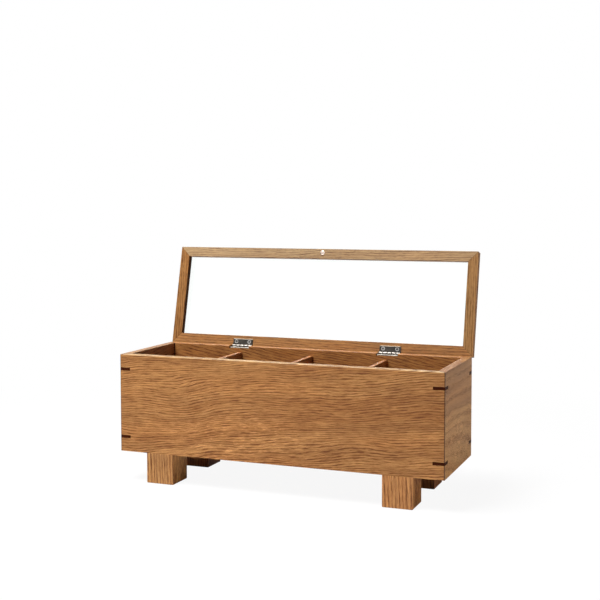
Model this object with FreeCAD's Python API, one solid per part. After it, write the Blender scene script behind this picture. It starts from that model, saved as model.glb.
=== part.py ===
import FreeCAD, Part
import os
from math import sin, tan

from FreeCAD import Placement, Rotation, Vector

# A tea organizer: a mitred oak case with four compartments on four block feet,
# and a glazed lid on two butt hinges. Sizes are in millimetres, the lid stands open.

# Case
case_length = 340.0
case_depth = 108.0
case_height = 99.5          # without the feet
wall_thickness = 8.5
rim_round = 0.8             # rounding of the rim's outer edge and of the upright corners
rim_ease = 0.4              # rounding of the rim's inner edge

# Slips let into the mitred corners
spline_leg = 11.5           # length that shows on each face
spline_thickness = 3.0
spline_margin = 15.0        # from the rim or the underside to the slip's middle

# Bottom panel, held by a tongue in the walls
bottom_thickness = 6.0
tongue_thickness = 3.0
tongue_length = 4.0

# Dividers, let into the front and back walls
divider_names = ("divider_left", "divider_middle", "divider_right")
divider_thickness = 4.5
divider_drop = 6.5          # from the rim down to the dividers' upper edges
dado_depth = 3.0
divider_ease = 0.4

# Feet, each held to the bottom panel by a loose tenon
foot_size = 30.0
foot_height = 30.5
foot_inset = 30.0           # from the case's ends
foot_ease = 0.5
tenon_length = 18.0         # along the case's length
tenon_width = 7.0
tenon_margin = 10.0         # from the foot's inner face to the tenon's middle
tenon_roof = 2.0            # wood of the bottom panel left above the tenons
mortise_depth = 12.0        # in the foot

# Lid
lid_thickness = 9.0
frame_width = 10.6
lid_round = 1.75            # rounding of the outer face's edge
lid_ease = 0.4              # rounding of the edges round the opening
glass_thickness = 3.0
rebate_width = 4.0
lid_gap = 0.2               # between the closed lid and the rim
open_angle = 103.3
magnet_radius = 2.5
magnet_thickness = 2.0
magnet_margin = 4.25        # from the lid's front edge to the magnet's middle

# Hinges
hinge_length = 23.0
hinge_inset = 86.5          # from the case's ends to the hinges' middles
barrel_radius = 1.5
pin_radius = 0.7
leaf_thickness = 1.0
leaf_margin = 1.4           # floor of the notch left in front of the leaf
leaf_corner = 0.6
leaf_bevel = 0.25           # along the edges of the leaf's bare face
knuckle_count = 5
axis_back = 0.8             # from the case's back face to the hinge axis
axis_drop = 1.0             # from the rim down to the hinge axis
screw_spacing = 15.2
screw_shank_radius = 0.95
screw_point = 1.6
screw_roof = 0.8            # wood left between the lid's screws and the glass

# Clearances
joint_fit = 0.05            # glued joints and screws in wood
panel_fit = 0.15            # the bottom panel in its grooves
glass_fit = 0.3
leaf_fit = 0.15             # leaves in their notches
pin_fit = 0.05              # pin in the knuckles
knuckle_gap = 0.3           # between neighbouring knuckles
knuckle_relief = 0.3        # round the other leaf's knuckles
end_gap = 0.2               # past the ends of tenons and screws
cut_margin = 5.0            # how far cutting shapes reach past the wood

# Worked out from the sizes above
half_length = case_length / 2
half_depth = case_depth / 2
inner_half_length = half_length - wall_thickness
inner_half_depth = half_depth - wall_thickness
tongue_floor = bottom_thickness - tongue_thickness
divider_top = case_height - divider_drop
compartment = (2 * inner_half_length - len(divider_names) * divider_thickness) / (len(divider_names) + 1)
axis_y = half_depth + axis_back
axis_z = case_height - axis_drop
lid_floor = case_height + lid_gap
leaf_reach = wall_thickness + axis_back - leaf_margin
leaf_root = barrel_radius + knuckle_relief
screw_reach = (leaf_root + leaf_reach) / 2
screw_head_radius = screw_shank_radius + leaf_thickness     # the countersink goes through the leaf
leaf_face = barrel_radius - leaf_thickness
leaf_proud = lid_floor - (axis_z + leaf_face)
screw_length = leaf_proud + lid_thickness - glass_thickness - screw_roof
hinge_middles = {"left": hinge_inset - half_length, "right": half_length - hinge_inset}

# Each side's turn about Z and the middle of its outer face
sides = {
    "front": (0, 0, -half_depth),
    "right": (90, half_length, 0),
    "back": (180, 0, half_depth),
    "left": (270, -half_length, 0),
}
side_lengths = {"front": case_length, "back": case_length, "left": case_depth, "right": case_depth}
corners = {
    "front_left": (-1, -1),
    "front_right": (1, -1),
    "back_left": (-1, 1),
    "back_right": (1, 1),
}


def block(x_range, y_range, z_range):
    low = Vector(x_range[0], y_range[0], z_range[0])
    high = Vector(x_range[1], y_range[1], z_range[1])
    size = high - low
    return Part.makeBox(size.x, size.y, size.z, low)


def around(middle, half):
    return (middle - half, middle + half)


def plan_prism(points, low, high):
    ring = [Vector(x, y, low) for x, y in points]
    face = Part.Face(Part.makePolygon(ring + ring[:1]))
    return face.extrude(Vector(0, 0, high - low))


def section(rounded_corners):
    # A face across X whose corners are given as (y, z, radius)
    points = [Vector(0, y, z) for y, z, radius in rounded_corners]
    edges = []
    ends = []
    for index, (y, z, radius) in enumerate(rounded_corners):
        corner = points[index]
        if radius == 0:
            ends.append((corner, corner))
            continue
        before = (points[index - 1] - corner).normalize()
        after = (points[(index + 1) % len(points)] - corner).normalize()
        half_turn = before.getAngle(after) / 2
        setback = radius / tan(half_turn)
        inward = (before + after).normalize()
        crown = corner + inward * (radius / sin(half_turn) - radius)
        ends.append((corner + before * setback, corner + after * setback))
        edges.append(Part.Arc(ends[-1][0], crown, ends[-1][1]).toShape())
    for index, (start, end) in enumerate(ends):
        following = ends[(index + 1) % len(ends)][0]
        edges.append(Part.LineSegment(end, following).toShape())
    return Part.Face(Part.Wire(Part.__sortEdges__(edges)))


def bar(face, length):
    # A section drawn out along X, middle on x = 0
    solid = face.extrude(Vector(length, 0, 0))
    solid.translate(Vector(-length / 2, 0, 0))
    return solid


def mitred(solid, length, width, height):
    # Cut both ends at 45 degrees, from full length on the outer face at y = 0
    reach = length / 2
    outer = reach + cut_margin
    inner = reach - width - cut_margin
    past = width + cut_margin
    plan = [(-outer, -cut_margin), (outer, -cut_margin), (inner, past), (-inner, past)]
    return solid.common(plan_prism(plan, -cut_margin, height + cut_margin))


def turned(solid, x, y, turn):
    # Turned about Z, then set down with its old origin at x, y
    placed = solid.copy()
    placed.Placement = Placement(Vector(x, y, 0), Rotation(Vector(0, 0, 1), turn)).multiply(solid.Placement)
    return placed


def on_side(solid, side):
    turn, x, y = sides[side]
    return turned(solid, x, y, turn)


def rounded_plan(low, high):
    # The case's outline in plan, its four upright edges rounded
    solid = block(around(0, half_length), around(0, half_depth), (low, high))
    upright = [edge for edge in solid.Edges if abs(edge.tangentAt(edge.FirstParameter).z) > 0.5]
    return solid.makeFillet(rim_round, upright)


def upright_cylinder(radius, x, y, low, high):
    return Part.makeCylinder(radius, high - low, Vector(x, y, low))


# Case

def wall(side):
    groove_floor = wall_thickness - tongue_length - panel_fit
    groove_low = tongue_floor - panel_fit
    groove_high = bottom_thickness + panel_fit
    face = section([
        (0, 0, 0),
        (wall_thickness, 0, 0),
        (wall_thickness, groove_low, 0),
        (groove_floor, groove_low, 0),
        (groove_floor, groove_high, 0),
        (wall_thickness, groove_high, 0),
        (wall_thickness, case_height, rim_ease),
        (0, case_height, rim_round),
    ])
    length = side_lengths[side]
    solid = on_side(mitred(bar(face, length), length, wall_thickness, case_height), side)
    solid = solid.common(rounded_plan(0, case_height))
    for name in corners:
        if side in name:
            for middle in spline_heights().values():
                solid = solid.cut(spline_slot(name, middle))
    return solid


def spline_heights():
    return {"lower": spline_margin, "upper": case_height - spline_margin}


def corner_triangle(corner, leg, past):
    # A right-angled plan triangle at a corner, its two short sides moved out by past
    sign_x, sign_y = corners[corner]
    local = [(past, past), (-leg - past, past), (past, -leg - past)]
    return [(sign_x * (half_length + x), sign_y * (half_depth + y)) for x, y in local]


def spline_slot(corner, middle):
    low, high = around(middle, spline_thickness / 2 + joint_fit)
    return plan_prism(corner_triangle(corner, spline_leg + 2 * joint_fit, cut_margin), low, high)


def spline(corner, middle):
    low, high = around(middle, spline_thickness / 2)
    slip = plan_prism(corner_triangle(corner, spline_leg, 0), low, high)
    return slip.common(rounded_plan(low, high))


def divider_middles():
    first = -inner_half_length + compartment + divider_thickness / 2
    pitch = compartment + divider_thickness
    return [first + pitch * index for index in range(len(divider_names))]


def dado_cuts(sign):
    # Stopped dadoes in the front wall (sign -1) or the back wall (sign 1)
    face = sign * inner_half_depth
    floor = face + sign * (dado_depth + joint_fit)
    y_range = sorted((face - sign * cut_margin, floor))
    cuts = []
    for middle in divider_middles():
        x_range = around(middle, divider_thickness / 2 + joint_fit)
        cuts.append(block(x_range, y_range, (bottom_thickness, divider_top + joint_fit)))
    return cuts


def divider(middle):
    half = divider_thickness / 2
    face = section([
        (-half, bottom_thickness, 0),
        (half, bottom_thickness, 0),
        (half, divider_top, divider_ease),
        (-half, divider_top, divider_ease),
    ])
    return turned(bar(face, 2 * (inner_half_depth + dado_depth)), middle, 0, 90)


def bottom_panel():
    body = block(
        around(0, inner_half_length - panel_fit),
        around(0, inner_half_depth - panel_fit),
        (0, bottom_thickness),
    )
    tongue = block(
        around(0, inner_half_length + tongue_length),
        around(0, inner_half_depth + tongue_length),
        (tongue_floor, bottom_thickness),
    )
    solid = body.fuse(tongue).removeSplitter()
    for corner in corners:
        solid = solid.cut(mortise(corner))
    return solid


def foot_middle(corner):
    sign_x, sign_y = corners[corner]
    return (sign_x * (half_length - foot_inset - foot_size / 2), sign_y * (half_depth - foot_size / 2))


def foot(corner):
    x, y = foot_middle(corner)
    solid = block(around(x, foot_size / 2), around(y, foot_size / 2), (-foot_height, 0))
    eased = [edge for edge in solid.Edges if edge.BoundBox.ZMin < -foot_height / 2]
    solid = solid.makeChamfer(foot_ease, eased)
    return solid.cut(mortise(corner))


def tenon_block(corner, clearance, low, high):
    x, y = foot_middle(corner)
    y -= corners[corner][1] * (foot_size / 2 - tenon_margin)
    x_range = around(x, tenon_length / 2 + clearance)
    return block(x_range, around(y, tenon_width / 2 + clearance), (low, high))


def mortise(corner):
    return tenon_block(corner, joint_fit, -mortise_depth, bottom_thickness - tenon_roof)


def foot_tenons():
    low = end_gap - mortise_depth
    high = bottom_thickness - tenon_roof - end_gap
    return Part.makeCompound([tenon_block(corner, 0, low, high) for corner in corners])


# Hinges, modelled about the axis as they lie when the lid is shut; -Z is the case's side

def knuckle_range(index):
    pitch = (hinge_length + knuckle_gap) / knuckle_count
    start = -hinge_length / 2 + index * pitch
    return (start, start + pitch - knuckle_gap)


def knuckle(index):
    # A leaf's end rolled round the pin
    low = -barrel_radius
    top = low + leaf_thickness
    mouth = -(barrel_radius ** 2 - top ** 2) ** 0.5
    flat = [
        (Vector(0, mouth, top), Vector(0, -leaf_root, top)),
        (Vector(0, -leaf_root, top), Vector(0, -leaf_root, low)),
        (Vector(0, -leaf_root, low), Vector(0, 0, low)),
    ]
    edges = [Part.LineSegment(start, end).toShape() for start, end in flat]
    roll = Part.Arc(Vector(0, 0, low), Vector(0, barrel_radius, 0), Vector(0, 0, barrel_radius))
    close = Part.Arc(
        Vector(0, 0, barrel_radius),
        Vector(0, -barrel_radius * sin(1), barrel_radius * (1 - sin(1) ** 2) ** 0.5),
        Vector(0, mouth, top),
    )
    edges += [roll.toShape(), close.toShape()]
    start, end = knuckle_range(index)
    solid = Part.Face(Part.Wire(Part.__sortEdges__(edges))).extrude(Vector(end - start, 0, 0))
    solid.translate(Vector(start, 0, 0))
    return solid.cut(axle(pin_radius + pin_fit))


def screw_places():
    return [(step * screw_spacing / 2, -screw_reach) for step in (-1, 1)]


def screw_profile(clearance, length):
    # Half section of a countersunk screw from its head down, as a solid of revolution
    head = screw_head_radius + clearance
    shank = screw_shank_radius + clearance
    outline = [
        Vector(0, 0, 0),
        Vector(head, 0, 0),
        Vector(shank, 0, shank - head),
        Vector(shank, 0, screw_point - length),
        Vector(0, 0, -length),
        Vector(0, 0, 0),
    ]
    face = Part.Face(Part.makePolygon(outline))
    return face.revolve(Vector(0, 0, 0), Vector(0, 0, 1), 360)


def moved(solid, x, y, z):
    placed = solid.copy()
    placed.translate(Vector(x, y, z))
    return placed


def leaf(knuckles):
    plate = block(around(0, hinge_length / 2), (-leaf_reach, -leaf_root), (-barrel_radius, -leaf_face))
    front = [
        edge for edge in plate.Edges
        if edge.BoundBox.ZLength > leaf_thickness / 2 and edge.BoundBox.YMax < -leaf_root
    ]
    solid = plate.makeChamfer(leaf_corner, front)
    bare = [
        edge for edge in solid.Edges
        if edge.BoundBox.ZMin > -leaf_face - leaf_bevel and edge.BoundBox.YMin < -leaf_root - leaf_bevel
    ]
    solid = solid.makeChamfer(leaf_bevel, bare)
    for index in knuckles:
        solid = solid.fuse(knuckle(index))
    solid = solid.removeSplitter()
    for x, y in screw_places():
        solid = solid.cut(moved(screw_profile(joint_fit, screw_length), x, y, -leaf_face))
    return solid


def leaf_screws():
    return [moved(screw_profile(0, screw_length), x, y, -leaf_face) for x, y in screw_places()]


def screw_pilots():
    depth = screw_length + end_gap
    return [
        upright_cylinder(screw_shank_radius + joint_fit, x, y, -leaf_face - depth, -leaf_face)
        for x, y in screw_places()
    ]


def axle(radius):
    # A cylinder along the hinge's axis, as long as the hinge
    return Part.makeCylinder(radius, hinge_length, Vector(-hinge_length / 2, 0, 0), Vector(1, 0, 0))


def at_hinge(solid, side):
    return moved(solid, hinge_middles[side], axis_y, axis_z)


def flipped(solid):
    # From the case's leaf to the lid's, which lies above it when shut
    return solid.mirror(Vector(0, 0, 0), Vector(0, 0, 1))


def case_notch():
    # Cut right through the back wall, down to the leaf's seat
    y_range = (-axis_back - wall_thickness - cut_margin, cut_margin)
    return block(around(0, hinge_length / 2 + leaf_fit), y_range, (-barrel_radius, axis_drop + cut_margin))


def lid_notch():
    y_range = (-leaf_reach - leaf_fit, cut_margin)
    z_range = (axis_drop + lid_gap - cut_margin, barrel_radius)
    return block(around(0, hinge_length / 2 + leaf_fit), y_range, z_range)


# Lid, modelled shut

def lid_bar(side):
    rebate_floor = lid_thickness - glass_thickness
    rebate_side = frame_width - rebate_width
    face = section([
        (0, 0, 0),
        (frame_width, 0, lid_ease),
        (frame_width, rebate_floor, 0),
        (rebate_side, rebate_floor, 0),
        (rebate_side, lid_thickness, lid_ease),
        (0, lid_thickness, lid_round),
    ])
    length = side_lengths[side]
    solid = on_side(mitred(bar(face, length), length, frame_width, lid_thickness), side)
    solid = solid.common(rounded_plan(-cut_margin, lid_thickness + cut_margin))
    return moved(solid, 0, 0, lid_floor)


def magnet_at(radius, thickness):
    y = magnet_margin - half_depth
    return upright_cylinder(radius, 0, y, lid_floor, lid_floor + thickness)


def glass_pane():
    reach = frame_width - rebate_width + glass_fit
    top = lid_floor + lid_thickness
    return block(around(0, half_length - reach), around(0, half_depth - reach), (top - glass_thickness, top))


def lid_nodes():
    back_rail = lid_bar("back")
    for side in hinge_middles:
        back_rail = back_rail.cut(at_hinge(lid_notch(), side))
        for pilot in screw_pilots():
            back_rail = back_rail.cut(at_hinge(flipped(pilot), side))
    magnet = magnet_at(magnet_radius, magnet_thickness)
    magnet_hole = magnet_at(magnet_radius + joint_fit, magnet_thickness + joint_fit)
    nodes = {
        "lid_front_rail": lid_bar("front").cut(magnet_hole),
        "lid_back_rail": back_rail,
        "lid_left_stile": lid_bar("left"),
        "lid_right_stile": lid_bar("right"),
        "glass_pane": glass_pane(),
        "lid_magnet": magnet,
    }
    screws = []
    for side in hinge_middles:
        nodes["hinge_" + side + "_lid_leaf"] = at_hinge(flipped(leaf((1, 3))), side)
        screws += [at_hinge(flipped(one), side) for one in leaf_screws()]
    nodes["lid_hinge_screws"] = Part.makeCompound(screws)
    return nodes


def case_nodes():
    walls = {side: wall(side) for side in sides}
    for side, sign in (("front", -1), ("back", 1)):
        for cut in dado_cuts(sign):
            walls[side] = walls[side].cut(cut)
    for side in hinge_middles:
        walls["back"] = walls["back"].cut(at_hinge(case_notch(), side))
        for pilot in screw_pilots():
            walls["back"] = walls["back"].cut(at_hinge(pilot, side))
    nodes = {side + "_wall": solid for side, solid in walls.items()}
    nodes["bottom_panel"] = bottom_panel()
    for name, middle in zip(divider_names, divider_middles()):
        nodes[name] = divider(middle)
    for corner in corners:
        for level, middle in spline_heights().items():
            nodes["spline_" + corner + "_" + level] = spline(corner, middle)
        nodes["foot_" + corner] = foot(corner)
    nodes["foot_tenons"] = foot_tenons()
    screws = []
    for side in hinge_middles:
        nodes["hinge_" + side + "_case_leaf"] = at_hinge(leaf((0, 2, 4)), side)
        nodes["hinge_" + side + "_pin"] = at_hinge(axle(pin_radius), side)
        screws += [at_hinge(one, side) for one in leaf_screws()]
    nodes["case_hinge_screws"] = Part.makeCompound(screws)
    return nodes


def opened(solid):
    placed = solid.copy()
    placed.rotate(Vector(0, axis_y, axis_z), Vector(1, 0, 0), -open_angle)
    return placed


nodes = case_nodes()
for name, solid in lid_nodes().items():
    nodes[name] = opened(solid)

# The origin is on the floor, midway over the open organizer's length and depth
whole = Part.makeCompound(list(nodes.values())).optimalBoundingBox()
shift = Vector(0, round(-whole.Center.y, 1), foot_height)
os.makedirs("parts", exist_ok=True)
for name, solid in nodes.items():
    moved(solid, shift.x, shift.y, shift.z).exportStep("parts/" + name + ".step")
axis = Vector(0, axis_y, axis_z) + shift
print(len(nodes), "nodes, hinge axis at y", round(axis.y, 4), "z", round(axis.z, 4))
print("box", round(whole.XLength, 3), round(whole.YLength, 3), round(whole.ZLength, 3))
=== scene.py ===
from math import cos, radians, sin

import bpy
from mathutils import Matrix, Vector


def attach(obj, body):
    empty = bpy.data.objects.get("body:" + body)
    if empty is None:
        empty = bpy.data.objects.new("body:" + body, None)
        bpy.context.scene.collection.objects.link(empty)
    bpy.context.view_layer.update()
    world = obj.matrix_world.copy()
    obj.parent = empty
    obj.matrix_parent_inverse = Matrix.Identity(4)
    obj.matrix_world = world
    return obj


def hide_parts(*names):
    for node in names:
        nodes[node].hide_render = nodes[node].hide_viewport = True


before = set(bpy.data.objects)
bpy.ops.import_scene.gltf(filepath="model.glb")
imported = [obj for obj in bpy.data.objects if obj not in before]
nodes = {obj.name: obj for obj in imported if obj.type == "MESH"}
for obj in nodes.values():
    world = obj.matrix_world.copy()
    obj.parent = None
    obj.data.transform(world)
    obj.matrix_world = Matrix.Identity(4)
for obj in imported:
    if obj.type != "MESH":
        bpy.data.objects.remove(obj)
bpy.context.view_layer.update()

mm = 0.001


# Node building

def addNode(tree, kind, inputs=None, **settings):
    node = tree.nodes.new(kind)
    for name, value in settings.items():
        setattr(node, name, value)
    for key, value in (inputs or {}).items():
        if isinstance(value, bpy.types.NodeSocket):
            tree.links.new(value, node.inputs[key])
        else:
            node.inputs[key].default_value = value
    return node


def calc(tree, operation, first, second=0.0, clamp=False):
    node = addNode(tree, "ShaderNodeMath", {0: first, 1: second}, operation=operation, use_clamp=clamp)
    return node.outputs[0]


def rescale(tree, value, fromLow, fromHigh, toLow=0.0, toHigh=1.0):
    inputs = {"Value": value, "From Min": fromLow, "From Max": fromHigh, "To Min": toLow, "To Max": toHigh}
    return addNode(tree, "ShaderNodeMapRange", inputs, interpolation_type="SMOOTHSTEP").outputs[0]


def blendColor(tree, factor, first, second, blend="MIX"):
    node = addNode(tree, "ShaderNodeMix", {0: factor, 6: first, 7: second}, data_type="RGBA", blend_type=blend)
    return node.outputs[2]


def stretch(tree, vector, size):
    # Divides a vector by the size of the pattern along each axis
    factors = tuple(1 / part for part in size)
    return addNode(tree, "ShaderNodeVectorMath", {0: vector, 1: factors}, operation="MULTIPLY").outputs[0]


def noise(tree, vector, size, detail=2.0, rough=0.5):
    inputs = {"Vector": stretch(tree, vector, size), "Scale": 1.0, "Detail": detail, "Roughness": rough}
    return addNode(tree, "ShaderNodeTexNoise", inputs, noise_dimensions="3D").outputs["Fac"]


def newGroup(name, inputs, outputs):
    tree = bpy.data.node_groups.new(name, "ShaderNodeTree")
    for label, kind, value in inputs:
        socket = tree.interface.new_socket(label, in_out="INPUT", socket_type=kind)
        if value is not None:
            socket.default_value = value
    for label, kind in outputs:
        tree.interface.new_socket(label, in_out="OUTPUT", socket_type=kind)
    return tree, tree.nodes.new("NodeGroupInput").outputs, tree.nodes.new("NodeGroupOutput").inputs


def join(tree, source, target):
    tree.links.new(source, target)


# Shared effects

def pulse(tree, phase, width):
    # 1 at whole numbers, falling smoothly to 0 over width on each side
    centred = calc(tree, "PINGPONG", phase, 0.5)
    return rescale(tree, centred, 0.0, width, 1.0, 0.0)


def makeGrainGroup():
    # Ring-porous wood with its grain along X, in millimetres. The growth rings lie round the pith, a line
    # that passes through Pith and leans by Slope for each millimetre along the board. The colour deepens by
    # Shade for each millimetre away from Shade Place.
    tree, given, result = newGroup("woodGrain", [
        ("Vector", "NodeSocketVector", None),
        ("Seed", "NodeSocketVector", None),
        ("Pith", "NodeSocketVector", None),
        ("Slope", "NodeSocketVector", None),
        ("Ring Width", "NodeSocketFloat", 2.4),
        ("Wave", "NodeSocketFloat", 10.0),
        ("Ripple", "NodeSocketFloat", 2.0),
        ("Light Color", "NodeSocketColor", (0.5, 0.3, 0.1, 1)),
        ("Warm Color", "NodeSocketColor", (0.5, 0.25, 0.08, 1)),
        ("Dark Color", "NodeSocketColor", (0.3, 0.1, 0.05, 1)),
        ("Pore Color", "NodeSocketColor", (0.1, 0.05, 0.02, 1)),
        ("Lines", "NodeSocketFloat", 0.7),
        ("Bands", "NodeSocketFloat", 0.12),
        ("Pores", "NodeSocketFloat", 0.5),
        ("Flecks", "NodeSocketFloat", 0.2),
        ("Fleck Place", "NodeSocketVector", None),
        ("Shade", "NodeSocketVector", None),
        ("Shade Place", "NodeSocketVector", None),
    ], [
        ("Color", "NodeSocketColor"),
        ("Roughness", "NodeSocketFloat"),
        ("Height", "NodeSocketFloat"),
    ])
    place = given["Vector"]
    seeded = addNode(tree, "ShaderNodeVectorMath", {0: place, 1: given["Seed"]}, operation="ADD").outputs[0]
    along = addNode(tree, "ShaderNodeSeparateXYZ", {0: place}).outputs["X"]
    pith = addNode(tree, "ShaderNodeVectorMath", {0: given["Slope"], 1: along, 2: given["Pith"]},
                   operation="MULTIPLY_ADD").outputs[0]
    away = addNode(tree, "ShaderNodeVectorMath", {0: place, 1: pith}, operation="SUBTRACT").outputs[0]
    away = addNode(tree, "ShaderNodeVectorMath", {0: away, 1: (0, 1, 1)}, operation="MULTIPLY").outputs[0]
    radius = addNode(tree, "ShaderNodeVectorMath", {0: away}, operation="LENGTH").outputs["Value"]
    broadWave = calc(tree, "SUBTRACT", noise(tree, seeded, (110, 70, 46), 1.0), 0.5)
    smallWave = calc(tree, "SUBTRACT", noise(tree, seeded, (34, 26, 13), 1.0), 0.5)
    jitter = calc(tree, "SUBTRACT", noise(tree, seeded, (8, 6, 4), 1.0), 0.5)
    lift = calc(tree, "ADD", calc(tree, "MULTIPLY", broadWave, given["Wave"]),
                calc(tree, "MULTIPLY", calc(tree, "ADD", smallWave, calc(tree, "MULTIPLY", jitter, 0.6)), given["Ripple"]))
    radius = calc(tree, "ADD", radius, lift)
    across = addNode(tree, "ShaderNodeSeparateXYZ", {0: seeded}).outputs["Y"]
    seededX = addNode(tree, "ShaderNodeSeparateXYZ", {0: seeded}).outputs["X"]
    figure = addNode(tree, "ShaderNodeCombineXYZ", {"X": seededX, "Y": across, "Z": radius}).outputs[0]
    drift = noise(tree, figure, (400, 60, 14), 1.0)
    rings = calc(tree, "ADD", calc(tree, "DIVIDE", radius, given["Ring Width"]), calc(tree, "MULTIPLY", drift, 2.0))
    early = pulse(tree, rings, 0.3)
    dashes = rescale(tree, noise(tree, figure, (13, 1.0, 0.38), 2.0, 0.6), 0.44, 0.58)
    threads = rescale(tree, noise(tree, figure, (19, 2, 0.46), 2.0, 0.65), 0.42, 0.62)
    bands = rescale(tree, noise(tree, figure, (230, 30, 7), 1.0), 0.3, 0.7)
    patches = rescale(tree, noise(tree, seeded, (60, 40, 22), 2.0), 0.3, 0.7)
    fine = noise(tree, figure, (5, 0.4, 0.2), 1.0)
    lines = calc(tree, "MULTIPLY", calc(tree, "ADD", calc(tree, "MULTIPLY", early, 0.6), 0.34), dashes)
    lines = calc(tree, "ADD", lines, calc(tree, "MULTIPLY", early, 0.22))
    lines = calc(tree, "ADD", lines, calc(tree, "MULTIPLY", threads, 0.22))
    depth = calc(tree, "MULTIPLY", lines, given["Lines"])
    depth = calc(tree, "ADD", depth, calc(tree, "MULTIPLY", bands, given["Bands"]))
    depth = calc(tree, "ADD", depth, calc(tree, "MULTIPLY", patches, 0.08))
    shaded = addNode(tree, "ShaderNodeVectorMath", {0: place, 1: given["Shade Place"]}, operation="SUBTRACT").outputs[0]
    shaded = addNode(tree, "ShaderNodeVectorMath", {0: shaded, 1: given["Shade"]}, operation="DOT_PRODUCT")
    shade = calc(tree, "MINIMUM", calc(tree, "MAXIMUM", shaded.outputs["Value"], 0.0), 0.17)
    depth = calc(tree, "ADD", depth, shade, True)
    pores = rescale(tree, calc(tree, "ADD", fine, calc(tree, "MULTIPLY", lines, 0.16)), 0.58, 0.72)
    warmth = rescale(tree, noise(tree, figure, (150, 60, 16), 2.0, 0.6), 0.35, 0.65)
    color = blendColor(tree, warmth, given["Light Color"], given["Warm Color"])
    color = blendColor(tree, depth, color, given["Dark Color"])
    flecks = rescale(tree, noise(tree, seeded, (7, 3.5, 2.4), 2.0, 0.6), 0.48, 0.66)
    flecked = addNode(tree, "ShaderNodeVectorMath", {0: place, 1: given["Fleck Place"]}, operation="SUBTRACT").outputs[0]
    flecked = addNode(tree, "ShaderNodeVectorMath", {0: stretch(tree, flecked, (95, 200, 42))}, operation="LENGTH")
    flecks = calc(tree, "MULTIPLY", flecks, rescale(tree, flecked.outputs["Value"], 0.4, 1.0, 1.0, 0.0))
    flecks = calc(tree, "MULTIPLY", flecks, given["Flecks"])
    paler = addNode(tree, "ShaderNodeVectorMath", {0: (0.9, 1.1, 1.6), "Scale": flecks}, operation="SCALE").outputs[0]
    color = addNode(tree, "ShaderNodeVectorMath", {0: color, 1: paler, 2: color},
                    operation="MULTIPLY_ADD").outputs[0]
    color = blendColor(tree, calc(tree, "MULTIPLY", pores, given["Pores"]), color, given["Pore Color"])
    join(tree, color, result["Color"])
    join(tree, rescale(tree, pores, 0, 1, 0.42, 0.66), result["Roughness"])
    join(tree, calc(tree, "SUBTRACT", 1.0, pores), result["Height"])
    return tree


def makeSeamGroup():
    # The glue line of a mitred frame seen from above: 1 on the diagonals through its four corners
    tree, given, result = newGroup("mitreSeam", [
        ("Vector", "NodeSocketVector", None),
        ("Half Size", "NodeSocketVector", None),
        ("Width", "NodeSocketFloat", 0.3),
    ], [("Mask", "NodeSocketFloat")])
    reach = addNode(tree, "ShaderNodeVectorMath", {0: given["Vector"]}, operation="ABSOLUTE").outputs[0]
    inward = addNode(tree, "ShaderNodeVectorMath", {0: given["Half Size"], 1: reach}, operation="SUBTRACT").outputs[0]
    split = addNode(tree, "ShaderNodeSeparateXYZ", {0: inward}).outputs
    apart = calc(tree, "ABSOLUTE", calc(tree, "SUBTRACT", split["X"], split["Y"]))
    join(tree, rescale(tree, calc(tree, "DIVIDE", apart, given["Width"]), 0.5, 1.0, 1.0, 0.0), result["Mask"])
    return tree


grainGroup = makeGrainGroup()
seamGroup = makeSeamGroup()


def newMaterial(name):
    material = bpy.data.materials.new(name)
    material.use_nodes = True
    tree = material.node_tree
    return material, tree, tree.nodes["Principled BSDF"]


# Oak

oak = {
    "light": (0.56, 0.283, 0.091),
    "warm": (0.565, 0.264, 0.079),
    "dark": (0.155, 0.045, 0.006),
    "pore": (0.11, 0.032, 0.007),
    "pores": 0.5,
    "poreDepth": 0.05 * mm,
    "gloss": 0.5,
    "seam": (0.035, 0.012, 0.004),
}
lean = 13.3                     # degrees that the open lid leans back
lidInside = 7.8                 # the lid's inner face in the turned coordinates, in millimetres
rimHeight = 130.0 * mm          # top of the case
grainTurns = {                  # Mapping turns that bring each grain direction to X
    "x": (0, 0, 0),
    "y": (0, 0, radians(-90)),
    "z": (0, radians(90), 0),
    "lid": (radians(lean), radians(90), 0),
    "lidX": (radians(lean), 0, 0),
}
caseSeam = {"turn": (0, 0, 0), "middle": (0, -17.7, 0), "half": (170, 54, 0), "width": 1.0, "strength": 0.8}
lidSeam = {"turn": (radians(lean - 90), 0, 0), "middle": (0, 188.9, 0), "half": (170, 54, 0), "width": 0.35,
           "strength": 0.45}


def toned(color, tone=(1, 1, 1)):
    return tuple(part * by for part, by in zip(color, tone)) + (1,)


def addSeam(tree, place, color, seam, seamColor):
    turned = {"Vector": place, "Rotation": seam["turn"], "Scale": (1 / mm,) * 3}
    level = addNode(tree, "ShaderNodeMapping", turned).outputs[0]
    level = addNode(tree, "ShaderNodeVectorMath", {0: level, 1: seam["middle"]}, operation="SUBTRACT").outputs[0]
    line = addNode(tree, "ShaderNodeGroup", node_tree=seamGroup)
    join(tree, level, line.inputs["Vector"])
    line.inputs["Half Size"].default_value = seam["half"]
    line.inputs["Width"].default_value = seam["width"]
    return blendColor(tree, calc(tree, "MULTIPLY", line.outputs["Mask"], seam["strength"]), color, toned(seamColor))


# Paints a sheen: the colour times tone where mask is 1, standing in for a reflection
def paintSheen(tree, mask, color, tone):
    paler = addNode(tree, "ShaderNodeVectorMath", {0: color, 1: tone}, operation="MULTIPLY").outputs[0]
    return blendColor(tree, mask, color, paler)


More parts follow.
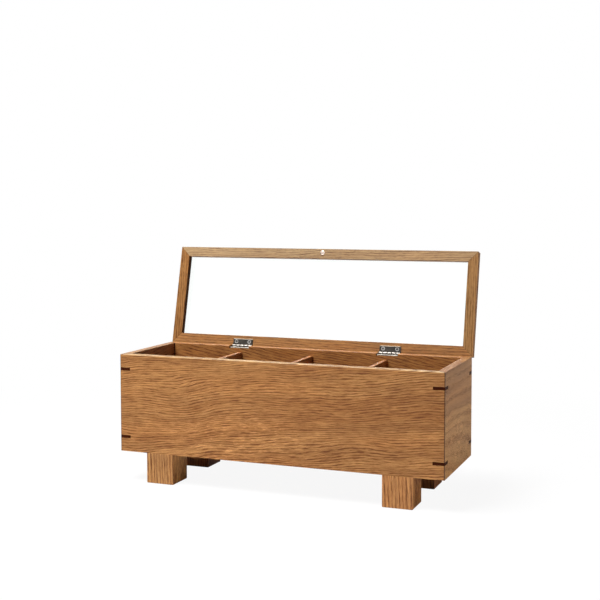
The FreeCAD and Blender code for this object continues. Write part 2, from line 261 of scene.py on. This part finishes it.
def woodMaterial(name, look, board):
    material, tree, shader = newMaterial(name)
    place = addNode(tree, "ShaderNodeTexCoord").outputs["Object"]
    turned = {"Vector": place, "Rotation": grainTurns[board["grain"]], "Scale": (1 / mm,) * 3}
    wood = addNode(tree, "ShaderNodeGroup", node_tree=grainGroup)
    tone = board.get("tone", (1, 1, 1))
    values = {
        "Seed": board["seed"], "Pith": board["pith"], "Slope": board.get("slope", (0, 0, 0)),
        "Ring Width": board.get("rings", 2.4), "Wave": board.get("wave", 8.0), "Ripple": board.get("ripple", 1.5),
        "Light Color": toned(look["light"], tone), "Dark Color": toned(look["dark"], tone),
        "Pore Color": toned(look["pore"], tone), "Warm Color": toned(look["warm"], tone),
        "Lines": board.get("lines", 0.95), "Bands": board.get("bands", 0.12),
        "Pores": look["pores"], "Flecks": board.get("flecks", 0.15),
        "Fleck Place": board.get("fleckPlace", (0, 0, 0)), "Shade": board.get("shade", (0, 0, 0)),
        "Shade Place": board.get("shadePlace", (0, 0, 0)),
    }
    for label, value in values.items():
        wood.inputs[label].default_value = value
    grained = addNode(tree, "ShaderNodeMapping", turned).outputs[0]
    join(tree, grained, wood.inputs["Vector"])
    color, rough = wood.outputs["Color"], wood.outputs["Roughness"]
    # Painted sheen: the lid's inner face is whitened, standing in for the reflection of the light above
    if "insideSheen" in board:
        depth = addNode(tree, "ShaderNodeSeparateXYZ", {0: grained}).outputs["Y"]
        inside = rescale(tree, depth, lidInside, lidInside + 0.4, 1.0, 0.0)
        color = paintSheen(tree, inside, color, board["insideSheen"])
    # Painted sheen: the top 0.8 mm of the rim is whitened, standing in for the reflection it catches
    if "rimSheen" in board:
        height = addNode(tree, "ShaderNodeSeparateXYZ", {0: place}).outputs["Z"]
        upper = rescale(tree, height, rimHeight - 0.8 * mm, rimHeight - 0.3 * mm)
        color = paintSheen(tree, upper, color, board["rimSheen"])
    if "seam" in board:
        color = addSeam(tree, place, color, board["seam"], look["seam"])
    # Painted shade: a strip of the stile's inner edge by the glass is darkened to the joint colour and made rough,
    # standing in for the shadow in the rebate
    if "rebateShade" in board:
        across = addNode(tree, "ShaderNodeSeparateXYZ", {0: place}).outputs["X"]
        inside = rescale(tree, across, board["rebateShade"] - 0.3 * mm, board["rebateShade"], 0.0, 1.0)
        color = blendColor(tree, calc(tree, "MULTIPLY", inside, 0.85), color, toned(look["seam"]))
        rough = calc(tree, "MAXIMUM", rough, inside)
    relief = {"Height": wood.outputs["Height"], "Distance": look["poreDepth"], "Strength": 0.6}
    join(tree, addNode(tree, "ShaderNodeBump", relief).outputs[0], shader.inputs["Normal"])
    join(tree, color, shader.inputs["Base Color"])
    join(tree, rough, shader.inputs["Roughness"])
    shader.inputs["Specular IOR Level"].default_value = board.get("gloss", look["gloss"])
    return material


# seed slides the pattern, in millimetres, so that no two boards look alike
oakBoards = {
    # The front wall's shade, darker towards the right, is painted shade for the light falling off away from the lamp on
    # the left
    "front_wall": {"grain": "x", "seed": (300, 0, 0), "pith": (0, -10, -110), "slope": (0, 0.02, 0.1),
                   "rings": 2.2, "wave": 20.0, "ripple": 1.2, "lines": 0.98, "bands": 0.22,
                   "tone": (1.1, 1.06, 1.02), "gloss": 0.4, "flecks": 0.35, "fleckPlace": (-40, -71, 50),
                   "shade": (0.0004, 0, 0), "shadePlace": (-60, 0, 0), "rimSheen": (0.98, 1.3, 1.74), "seam": caseSeam},
    "back_wall": {"grain": "x", "seed": (410, 90, 33), "pith": (0, -60, 0), "slope": (0, 0, -0.16),
                  "rings": 2.4, "wave": 10.0, "ripple": 1.5, "tone": (0.93, 0.84, 0.76), "seam": caseSeam},
    # The left wall's darker, redder tone is painted shade, standing in for the shadow on its inner face
    "left_wall": {"grain": "y", "seed": (55, 310, 12), "pith": (0, 70, 20), "slope": (0, 0.05, 0.05),
                  "wave": 8.0, "ripple": 1.6, "tone": (0.72, 0.62, 0.58),
                  "rimSheen": (1.1, 1.35, 1.5), "seam": caseSeam},
    "right_wall": {"grain": "y", "seed": (220, 140, 71), "pith": (0, -130, 20), "slope": (0, 0.25, 0.1),
                   "rings": 9.0, "wave": 16.0, "ripple": 1.5, "lines": 0.3, "bands": 0.3, "flecks": 0.3,
                   "tone": (1.04, 1.05, 1.06), "fleckPlace": (20, -170, 60), "shade": (0, 0, 0.016),
                   "shadePlace": (0, 0, 80),
                   "seam": caseSeam},
    "bottom_panel": {"grain": "x", "seed": (130, 260, 40), "pith": (0, 120, 0), "slope": (0, 0.05, 0),
                     "rings": 2.6, "wave": 10.0},
    # The dividers' darker, redder tone is painted shade, standing in for the shadow on their faces inside the box
    "divider_left": {"grain": "y", "seed": (17, 20, 101), "pith": (0, 0, -90), "rings": 2.2, "tone": (0.86, 0.75, 0.72)},
    "divider_middle": {"grain": "y", "seed": (317, 90, 45), "pith": (0, 90, -60), "rings": 2.2, "tone": (0.86, 0.75, 0.72)},
    "divider_right": {"grain": "y", "seed": (97, 160, 5), "pith": (0, -10, -80), "rings": 2.2, "tone": (0.86, 0.75, 0.72)},
    "foot_front_left": {"grain": "z", "seed": (11, 33, 70), "pith": (0, -30, -160), "slope": (0, 0, 0.03),
                        "rings": 3.2, "wave": 2.0, "ripple": 0.5, "lines": 1.15, "tone": (1.14, 1.16, 1.18)},
    "foot_front_right": {"grain": "z", "seed": (71, 83, 20), "pith": (0, -20, 160), "slope": (0, 0, 0.03),
                         "rings": 3.4, "wave": 3.0, "ripple": 0.5, "tone": (1.14, 1.06, 1.0)},
    # The back feet's darker, redder tones are painted shade, standing in for the shadow under the box
    "foot_back_left": {"grain": "z", "seed": (131, 133, 40), "pith": (0, 0, -160), "slope": (0, 0, 0.03),
                       "rings": 3.0, "wave": 3.0, "ripple": 0.6, "tone": (0.75, 0.6, 0.5)},
    "foot_back_right": {"grain": "z", "seed": (191, 183, 90), "pith": (0, -90, 160), "slope": (0, 0, 0.05),
                        "rings": 3.0, "wave": 3.0, "ripple": 0.6, "tone": (0.7, 0.5, 0.4)},
    "foot_tenons": {"grain": "z", "seed": (251, 3, 60), "pith": (0, -90, 160), "wave": 2.0},
    "lid_front_rail": {"grain": "lidX", "seed": (47, 220, 30), "pith": (0, 40, 0), "slope": (0, 0, 0.02),
                       "rings": 2.6, "lines": 0.7, "tone": (0.86, 0.84, 0.86),
                       "insideSheen": (0.91, 1.2, 1.75), "seam": lidSeam},
    "lid_back_rail": {"grain": "lidX", "seed": (147, 20, 77), "pith": (0, -30, 20), "slope": (0, 0, -0.02),
                      "lines": 0.75, "tone": (0.81, 0.8, 0.8), "gloss": 0.4, "shade": (0.0006, 0, 0),
                      "shadePlace": (20, 0, 0), "seam": lidSeam},
    "lid_left_stile": {"grain": "lid", "seed": (247, 70, 15), "pith": (0, -40, 60), "slope": (0, 0, 0.04),
                       "wave": 6.0, "lines": 0.75, "tone": (0.67, 0.65, 0.66), "gloss": 0.15,
                       "rebateShade": -159.4 * mm, "seam": lidSeam},
    "lid_right_stile": {"grain": "lid", "seed": (347, 120, 66), "pith": (0, -30, -60), "slope": (0, 0, 0.05),
                        "wave": 6.0, "lines": 0.65, "tone": (0.72, 0.7, 0.7), "gloss": 0.15,
                        "insideSheen": (0.97, 1.14, 1.43), "seam": lidSeam},
}


def finishOak():
    for name, board in oakBoards.items():
        nodes[name].material_slots[0].material = woodMaterial("oak_" + name, oak, board)
    print("oak boards", len(oakBoards))


# Dark slips

darkWood = {
    "light": (0.075, 0.018, 0.004),
    "warm": (0.06, 0.013, 0.003),
    "dark": (0.03, 0.005, 0.001),
    "pore": (0.012, 0.002, 0.001),
    "pores": 0.6,
    "poreDepth": 0.04 * mm,
    "gloss": 0.05,
}


def finishSlips():
    slips = sorted(name for name in nodes if name.startswith("spline_"))
    for index, name in enumerate(slips):
        seed = (37.0 * index, 53.0 * index, 11.0 * index)
        board = {"grain": "x", "seed": seed, "pith": (0, 0, -60), "rings": 1.2, "wave": 2.0, "ripple": 0.5}
        nodes[name].material_slots[0].material = woodMaterial("dark_" + name, darkWood, board)
    print("dark slips", len(slips))


# Metal

nickel = {"color": (0.17, 0.155, 0.135, 1), "worn": (0.085, 0.076, 0.068, 1), "roughness": (0.32, 0.46)}
# Painted light on the hinge: highlight colours for the barrel and the leaf's edge, painted shade for the knuckle gaps
hingePaintedLight = {"barrel": (0.235, 0.212, 0.19, 1), "edge": (0.8, 0.7, 0.56, 1), "gapShade": (0.02, 0.015, 0.01, 1)}
hinge = {
    "axis": (0, 37.1 * mm, 129.0 * mm),
    "screwMiddles": (-91.1 * mm, -75.9 * mm, 75.9 * mm, 91.1 * mm),
    "screwReach": 4.85 * mm,            # from the axis to the screws
    "bareFace": 0.5 * mm,               # from the axis to the leaves' bare faces
    "firstGap": 71.85 * mm,             # where the pattern of the knuckle gaps starts, on both sides
    "knucklePitch": 4.66 * mm,
    "barrelReach": 2.0 * mm,            # from the axis
    "leafReach": 7.9 * mm,              # from the axis to the lid leaf's upper edge
}
opened = Matrix.Rotation(radians(-90 - lean), 4, "X")       # from the shut lid to the open one


def paintHingeLight(tree, place, color, rough):
    # Painted light: a painted highlight on the barrel and along the lid leaf's upper edge, and painted shade, darker
    # and rougher, in the gaps between the knuckles
    away = addNode(tree, "ShaderNodeVectorMath", {0: place, 1: hinge["axis"]}, operation="SUBTRACT").outputs[0]
    away = addNode(tree, "ShaderNodeVectorMath", {0: away, 1: (0, 1, 1)}, operation="MULTIPLY").outputs[0]
    distance = addNode(tree, "ShaderNodeVectorMath", {0: away}, operation="LENGTH").outputs["Value"]
    barrel = rescale(tree, distance, hinge["barrelReach"], 1.3 * hinge["barrelReach"], 1.0, 0.0)
    upright = (0, sin(radians(lean)), cos(radians(lean)))
    upward = addNode(tree, "ShaderNodeVectorMath", {0: away, 1: upright}, operation="DOT_PRODUCT").outputs["Value"]
    edge = rescale(tree, upward, hinge["leafReach"] - 0.8 * mm, hinge["leafReach"] - 0.5 * mm)
    side = calc(tree, "ABSOLUTE", addNode(tree, "ShaderNodeSeparateXYZ", {0: place}).outputs["X"])
    phase = calc(tree, "DIVIDE", calc(tree, "SUBTRACT", side, hinge["firstGap"]), hinge["knucklePitch"])
    gapShade = calc(tree, "MULTIPLY", pulse(tree, phase, 0.2), barrel)
    for mask, name in ((barrel, "barrel"), (edge, "edge"), (gapShade, "gapShade")):
        color = blendColor(tree, mask, color, hingePaintedLight[name])
    return color, calc(tree, "MAXIMUM", rough, calc(tree, "MULTIPLY", gapShade, 0.8))


def metalMaterial(name, look, brush, hinged=False):
    material, tree, shader = newMaterial(name)
    place = addNode(tree, "ShaderNodeTexCoord").outputs["Object"]
    lines = noise(tree, place, brush, 3.0, 0.6)
    clouds = noise(tree, place, (6 * mm, 6 * mm, 6 * mm), 2.0)
    color = blendColor(tree, rescale(tree, clouds, 0.35, 0.7, 0.0, 0.8), look["color"], look["worn"])
    low, high = look["roughness"]
    rough = rescale(tree, lines, 0.3, 0.7, low, high)
    if hinged:
        color, rough = paintHingeLight(tree, place, color, rough)
    join(tree, color, shader.inputs["Base Color"])
    join(tree, rough, shader.inputs["Roughness"])
    relief = {"Height": lines, "Distance": 0.01 * mm, "Strength": 0.4}
    join(tree, addNode(tree, "ShaderNodeBump", relief).outputs[0], shader.inputs["Normal"])
    shader.inputs["Metallic"].default_value = 1.0
    return material


def finishHinges():
    finish = metalMaterial("nickel_hinge", nickel, (4 * mm, 0.25 * mm, 0.25 * mm), hinged=True)
    for name in nodes:
        if name.startswith("hinge_"):
            nodes[name].material_slots[0].material = finish
    print("hinges done")


# Hinge screws

screw = {
    "headRadius": 1.95 * mm,
    "shankRadius": 0.95 * mm,
    "headDepth": 1.0 * mm,
    "length": 5.9 * mm,
    "point": 1.6 * mm,
    "rimWidth": 0.5 * mm,
    "dishDepth": 0.15 * mm,
    "crossLength": 2.5 * mm,
    "crossWidth": 0.5 * mm,
    "crossDepth": 0.8 * mm,
    "crossTurns": (20, 65, 5, 40),      # degrees, one for each screw
}


screwMetal = {"color": (0.28, 0.265, 0.245, 1), "worn": (0.16, 0.15, 0.14, 1), "roughness": (0.4, 0.55)}
# Painted highlight: the screw heads' rims take this much lighter metal, standing in for the light they catch
rimHighlightMetal = {"color": (0.8, 0.77, 0.73, 1), "worn": (0.55, 0.53, 0.5, 1), "roughness": (0.5, 0.62)}


def deselect():
    if bpy.context.mode != "OBJECT":
        bpy.ops.object.mode_set(mode="OBJECT")
    bpy.ops.object.select_all(action="DESELECT")


def editFaces(piece, chosen):
    # Goes into edit mode with the faces that chosen() picks
    bpy.ops.object.mode_set(mode="OBJECT")
    mesh = piece.data
    for item in (*mesh.vertices, *mesh.edges, *mesh.polygons):
        item.select = False
    for face in mesh.polygons:
        face.select = chosen(face)
    bpy.ops.object.mode_set(mode="EDIT")
    bpy.ops.mesh.select_mode(type="FACE")


def applyModifier(piece, kind, **settings):
    modifier = piece.modifiers.new(kind.lower(), kind)
    for name, value in settings.items():
        setattr(modifier, name, value)
    bpy.context.view_layer.objects.active = piece
    bpy.ops.object.modifier_apply(modifier=modifier.name)


def crossBar(turn):
    # One bar of the cross recess, narrower at its floor
    deselect()
    bpy.ops.mesh.primitive_cube_add(size=1, location=(0, 0, 0))
    bar = bpy.context.object
    bar.scale = (screw["crossLength"], screw["crossWidth"], 2 * screw["crossDepth"])
    bar.rotation_euler = (0, 0, radians(turn))
    bpy.ops.object.transform_apply(location=True, rotation=True, scale=True)
    editFaces(bar, lambda face: face.normal.z < -0.5)
    bpy.ops.transform.resize(value=(0.35, 0.35, 1))
    bpy.ops.object.mode_set(mode="OBJECT")
    return bar


def modelScrew(name):
    # Head up at the origin
    deselect()
    depth = screw["headDepth"]
    bpy.ops.mesh.primitive_cone_add(vertices=32, radius1=screw["shankRadius"], radius2=screw["headRadius"],
                                    depth=depth, location=(0, 0, -depth / 2))
    piece = bpy.context.object
    bpy.ops.object.transform_apply(location=True, rotation=True, scale=True)
    piece.data.materials.append(metalMaterial("nickel_" + name, screwMetal, (0.5 * mm,) * 3))
    piece.data.materials.append(metalMaterial("rim_highlight_" + name, rimHighlightMetal, (0.5 * mm,) * 3))
    editFaces(piece, lambda face: face.normal.z < -0.9)
    shank = screw["length"] - depth - screw["point"]
    bpy.ops.mesh.extrude_region_move(TRANSFORM_OT_translate={"value": (0, 0, -shank)})
    bpy.ops.mesh.extrude_region_move(TRANSFORM_OT_translate={"value": (0, 0, -screw["point"])})
    bpy.ops.transform.resize(value=(0.08, 0.08, 1))
    editFaces(piece, lambda face: face.normal.z > 0.9)
    bpy.ops.mesh.inset(thickness=screw["rimWidth"])
    bpy.ops.object.mode_set(mode="OBJECT")
    # The head's rim ring takes the second material, a painted highlight
    inner = screw["headRadius"] - 0.9 * screw["rimWidth"]
    for face in piece.data.polygons:
        face.material_index = int(face.normal.z > 0.9 and face.center.xy.length > inner)
    editFaces(piece, lambda face: face.normal.z > 0.9 and face.material_index == 0)
    bpy.ops.mesh.inset(thickness=screw["dishDepth"])
    bpy.ops.transform.translate(value=(0, 0, -screw["dishDepth"]))
    bpy.ops.object.mode_set(mode="OBJECT")
    for turn in (0, 90):
        bar = crossBar(turn)
        deselect()
        piece.select_set(True)
        applyModifier(piece, "BOOLEAN", object=bar, operation="DIFFERENCE", solver="EXACT")
        bpy.data.objects.remove(bar)
    return piece


def placeScrews(name, body, node, turn):
    # turn swings the case leaf's screws about the hinge axis to where these are
    model = modelScrew(name)
    copies = []
    for middle, crossTurn in zip(hinge["screwMiddles"], screw["crossTurns"]):
        copy = model.copy()
        copy.data = model.data.copy()
        bpy.context.scene.collection.objects.link(copy)
        spin = Matrix.Rotation(radians(crossTurn), 4, "Z")
        seat = Matrix.Translation((middle, -hinge["screwReach"], -hinge["bareFace"]))
        copy.data.transform(Matrix.Translation(hinge["axis"]) @ turn @ seat @ spin)
        copies.append(copy)
    bpy.data.objects.remove(model)
    deselect()
    for copy in copies:
        copy.select_set(True)
    bpy.context.view_layer.objects.active = copies[0]
    bpy.ops.object.join()
    screws = copies[0]
    screws.name = name
    bpy.ops.object.shade_smooth_by_angle(angle=radians(30))
    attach(screws, body)
    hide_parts(node)


def makeScrews():
    placeScrews("case_screws", "case", "case_hinge_screws", Matrix())
    placeScrews("lid_screws", "lid", "lid_hinge_screws", opened @ Matrix.Rotation(radians(180), 4, "Y"))
    print("screws done")


# Magnet

magnet = {
    "radius": 2.5 * mm,
    "depth": 2.0 * mm,
    "rim": 0.35 * mm,
    "groove": 0.12 * mm,
    "place": (0, -49.75 * mm - 54.8 * mm, 1.2 * mm),    # from the hinge axis, with the lid shut
}
magnetMetal = {"color": (0.76, 0.62, 0.54, 1), "worn": (0.56, 0.45, 0.38, 1), "roughness": (0.42, 0.55)}


def makeMagnet():
    deselect()
    bpy.ops.mesh.primitive_cylinder_add(vertices=48, radius=magnet["radius"], depth=magnet["depth"],
                                        location=(0, 0, magnet["depth"] / 2))
    piece = bpy.context.object
    piece.name = "lid_magnet_disc"
    bpy.ops.object.transform_apply(location=True, rotation=True, scale=True)
    editFaces(piece, lambda face: face.normal.z < -0.9)
    bpy.ops.mesh.inset(thickness=magnet["rim"])
    bpy.ops.mesh.inset(thickness=magnet["groove"])
    bpy.ops.transform.translate(value=(0, 0, magnet["groove"]))
    bpy.ops.mesh.inset(thickness=magnet["groove"])
    bpy.ops.transform.translate(value=(0, 0, -magnet["groove"]))
    bpy.ops.object.mode_set(mode="OBJECT")
    applyModifier(piece, "BEVEL", width=0.15 * mm, segments=2, limit_method="ANGLE", angle_limit=radians(60))
    bpy.ops.object.shade_smooth_by_angle(angle=radians(30))
    piece.data.transform(Matrix.Translation(hinge["axis"]) @ opened @ Matrix.Translation(magnet["place"]))
    piece.data.materials.append(metalMaterial("nickel_magnet", magnetMetal, (0.8 * mm,) * 3))
    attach(piece, "lid")
    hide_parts("lid_magnet")
    print("magnet done")


# Glass

def finishGlass():
    material, tree, shader = newMaterial("clear_glass")
    shader.inputs["Base Color"].default_value = (0.97, 0.99, 0.98, 1)
    shader.inputs["Roughness"].default_value = 0.0
    shader.inputs["IOR"].default_value = 1.45
    shader.inputs["Transmission Weight"].default_value = 1.0
    light = addNode(tree, "ShaderNodeLightPath")
    clear = addNode(tree, "ShaderNodeBsdfTransparent")
    mixed = addNode(tree, "ShaderNodeMixShader", {0: light.outputs["Is Shadow Ray"]})
    join(tree, shader.outputs[0], mixed.inputs[1])
    join(tree, clear.outputs[0], mixed.inputs[2])
    join(tree, mixed.outputs[0], tree.nodes["Material Output"].inputs["Surface"])
    nodes["glass_pane"].material_slots[0].material = material
    print("glass done")


# Studio

studio = {
    "floorSize": 12.0,
    "floorColor": (0.8, 0.8, 0.8, 1),
    "ambient": 0.02,
    "reflected": (0.14, 1.0),   # how bright reflections see the room and the backdrop behind
    "throughGlass": 1.07,       # makes up for what a clear pane keeps back
    "topPlace": (-0.5, -0.5, 1.56),
    "topWatts": 52.0,
    "topSize": 0.8,
    "cardPlace": (0.6, -0.05, 0.03),
    "cardWatts": 1.15,
    "cardSize": 0.3,
}


def rays(tree):
    return addNode(tree, "ShaderNodeLightPath").outputs


def backdropSeen(tree, direction):
    # How bright reflections see each direction: a dim room, and a white backdrop behind that ends to the right
    room, backdrop = studio["reflected"]
    split = addNode(tree, "ShaderNodeSeparateXYZ", {0: direction}).outputs
    behind = rescale(tree, split["Y"], -0.1, 0.4)
    left = rescale(tree, split["X"], 0.1, 0.4, 1.0, 0.25)
    return rescale(tree, calc(tree, "MULTIPLY", behind, left), 0, 1, room, backdrop)


def makeFloor():
    bpy.ops.object.select_all(action="DESELECT")
    bpy.ops.mesh.primitive_plane_add(size=studio["floorSize"])
    floor = bpy.context.object
    floor.name = "studio_floor"
    material, tree, shader = newMaterial("studio_paper")
    shader.inputs["Base Color"].default_value = studio["floorColor"]
    shader.inputs["Roughness"].default_value = 0.9
    shader.inputs["Specular IOR Level"].default_value = 0.0
    place = addNode(tree, "ShaderNodeTexCoord").outputs["Object"]
    distance = addNode(tree, "ShaderNodeVectorMath", {0: place}, operation="LENGTH").outputs["Value"]
    direction = addNode(tree, "ShaderNodeVectorMath", {0: place}, operation="NORMALIZE").outputs[0]
    light = rays(tree)
    through = calc(tree, "MULTIPLY", light["Is Transmission Ray"], studio["throughGlass"])
    shadow = rescale(tree, distance, 0.1, 0.4, 0.1, 1.0)
    mirrored = calc(tree, "MULTIPLY", light["Is Glossy Ray"], backdropSeen(tree, direction))
    mirrored = calc(tree, "MULTIPLY", mirrored, shadow)
    strength = calc(tree, "MAXIMUM", calc(tree, "MAXIMUM", light["Is Camera Ray"], through), mirrored)
    white = addNode(tree, "ShaderNodeEmission", {"Color": (1, 1, 1, 1), "Strength": strength})
    seen = calc(tree, "MAXIMUM", light["Is Camera Ray"], light["Is Transmission Ray"])
    seen = calc(tree, "MULTIPLY", seen, rescale(tree, distance, 0.2, 0.7, 0.92, 1.0))
    mixed = addNode(tree, "ShaderNodeMixShader", {0: calc(tree, "MAXIMUM", seen, light["Is Glossy Ray"])})
    join(tree, shader.outputs[0], mixed.inputs[1])
    join(tree, white.outputs[0], mixed.inputs[2])
    join(tree, mixed.outputs[0], tree.nodes["Material Output"].inputs["Surface"])
    floor.data.materials.append(material)


def makeWorld():
    # White to the camera and through glass; reflections see a dim room in front and a white backdrop behind
    world = bpy.data.worlds.new("studio_world")
    bpy.context.scene.world = world
    world.use_nodes = True
    tree = world.node_tree
    background = tree.nodes["Background"]
    background.inputs["Color"].default_value = (1, 1, 1, 1)
    direction = addNode(tree, "ShaderNodeTexCoord").outputs["Generated"]
    light = rays(tree)
    mirrored = calc(tree, "MULTIPLY", light["Is Glossy Ray"], backdropSeen(tree, direction))
    through = calc(tree, "MULTIPLY", light["Is Transmission Ray"], studio["throughGlass"])
    seen = calc(tree, "MAXIMUM", light["Is Camera Ray"], through)
    strength = calc(tree, "MAXIMUM", calc(tree, "MAXIMUM", seen, mirrored), studio["ambient"])
    join(tree, strength, background.inputs["Strength"])


def makeLamp(name):
    lamp = bpy.data.lights.new(name, "AREA")
    lamp.energy = studio[name + "Watts"]
    lamp.size = studio[name + "Size"]
    holder = bpy.data.objects.new(name, lamp)
    bpy.context.scene.collection.objects.link(holder)
    holder.location = studio[name + "Place"]
    aim = Vector((0, 0, 0.1)) - holder.location
    holder.rotation_euler = aim.to_track_quat("-Z", "Y").to_euler()
    holder.visible_camera = False


camera = {
    "place": (409.1 * mm, -1016.9 * mm, 281.8 * mm),
    "yaw": 20.942,              # to the left
    "pitch": 3.318,             # down
    "lens": 64.51,
    "shift": (-0.0318, -0.0545),
}


def makeCamera():
    data = bpy.data.cameras.new("camera")
    holder = bpy.data.objects.new("camera", data)
    bpy.context.scene.collection.objects.link(holder)
    holder.location = camera["place"]
    holder.rotation_euler = (radians(90 - camera["pitch"]), 0, radians(camera["yaw"]))
    data.sensor_width = 36
    data.lens = camera["lens"]
    data.shift_x, data.shift_y = camera["shift"]
    data.clip_start = 0.01
    data.clip_end = 50
    bpy.context.scene.camera = holder


def makeStudio():
    makeWorld()
    makeFloor()
    for name in ("top", "card"):
        makeLamp(name)
    makeCamera()
    bpy.context.scene.view_settings.view_transform = "Standard"
    print("studio done")


finishOak()
finishSlips()
finishHinges()
makeScrews()
makeMagnet()
finishGlass()
makeStudio()
